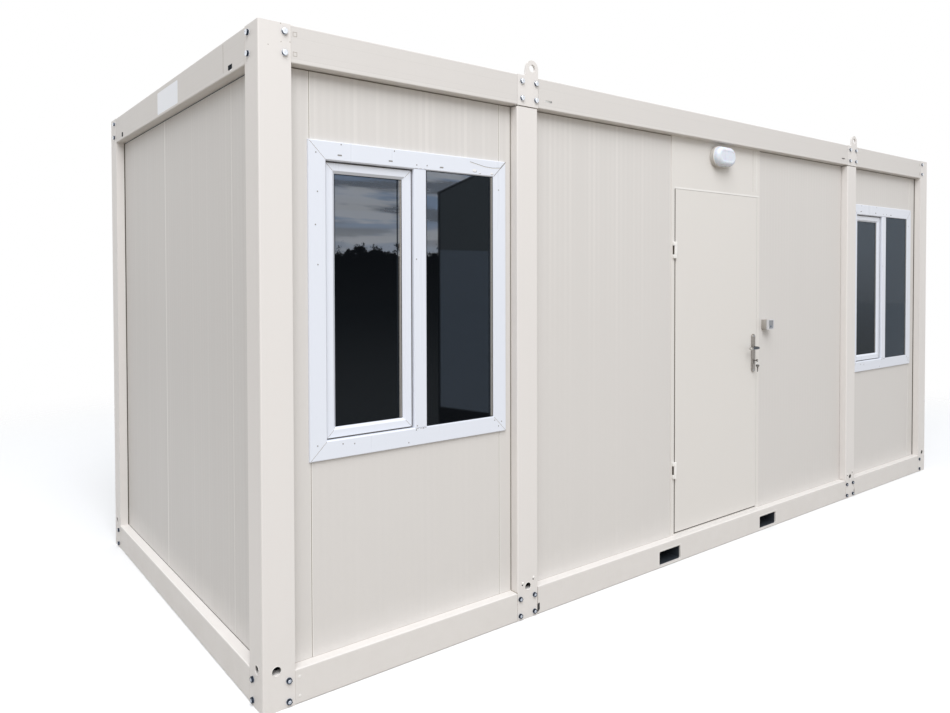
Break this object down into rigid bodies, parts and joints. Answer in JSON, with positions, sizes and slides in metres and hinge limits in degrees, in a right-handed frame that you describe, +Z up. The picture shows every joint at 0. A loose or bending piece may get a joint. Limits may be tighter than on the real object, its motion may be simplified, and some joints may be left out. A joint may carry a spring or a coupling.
{
  "type": "portable site cabin",
  "caption": "Twenty-foot steel-framed site cabin with set-back sandwich walls, outward door, windows, fork pockets and lifting eyes.",
  "frame": {"origin": "centre of the footprint on the ground, on the underside of the middle floor joist", "axes": "+X to the right seen from the door side, +Y away from the door side, +Z up"},
  "size_m": [6.058, 2.456, 2.7804],
  "materials": {
    "frame_paint": "satin warm grey-beige paint",
    "panel": "satin coil-coated sheet, fine vertical ribs",
    "door_paint": "smooth satin paint",
    "underframe": "grey primer",
    "floor": "coated board",
    "lining": "matt white",
    "roof": "coil-coated trapezoidal sheet",
    "pocket": "dark inside",
    "window_plastic": "white window profile",
    "window_glass": "dark double glazing",
    "nickel": "brushed nickel",
    "cylinder_metal": "satin nickel-plated brass",
    "lamp_base": "grey-beige plastic",
    "diffuser": "opal plastic",
    "switch_plastic": "light grey plastic"
  },
  "bodies": {
    "cabin": {"corner_post_front_left": "frame_paint", "corner_post_front_right": "frame_paint", "corner_post_back_left": "frame_paint", "corner_post_back_right": "frame_paint", "mid_posts_front": "frame_paint", "mid_posts_back": "frame_paint", "lifting_eyes": "frame_paint", "top_rail_front": "frame_paint", "top_rail_back": "frame_paint", "top_rail_left": "frame_paint", "top_rail_right": "frame_paint", "floor_rail_front": "frame_paint", "floor_rail_back": "frame_paint", "floor_rail_left": "frame_paint", "floor_rail_right": "frame_paint", "fork_pockets": "pocket", "floor_joists": "underframe", "floor_board": "floor", "roof_beams": "underframe", "roof_sheet": "roof", "ceiling_lining": "lining", "front_wall_left": "panel", "front_wall_beside_door_left": "panel", "front_wall_beside_door_right": "panel", "front_wall_over_door": "panel", "front_wall_right": "panel", "end_wall_left": "panel", "end_wall_right": "panel", "back_wall_left": "panel", "back_wall_middle": "panel", "back_wall_right": "panel", "window_frames": "window_plastic", "window_sashes": "window_plastic", "window_panes": "window_glass", "door_frame": "frame_paint", "hinges_fixed": "frame_paint", "lamp_base": "lamp_base", "lamp_diffuser": "diffuser", "switch_box": "switch_plastic"},
    "door": {"door_leaf": "door_paint", "hinges_moving": "frame_paint", "lock_plates": "nickel", "lock_cylinder": "cylinder_metal"},
    "lever": {"lever_handle": "nickel"}
  },
  "joints": [
    {"name": "door_hinge", "type": "hinge", "parent": "cabin", "child": "door", "pos_m": [-0.433, -1.184, 1.2], "axis": [0, 0, -1], "range_deg": [0, 170]},
    {"name": "lever_turn", "type": "hinge", "parent": "door", "child": "lever", "pos_m": [0.401, -1.177, 1.232], "axis": [0, -1, 0], "range_deg": [0, 45], "stiffness_Nm_per_rad": 3, "springref_deg": -17.19}
  ]
}
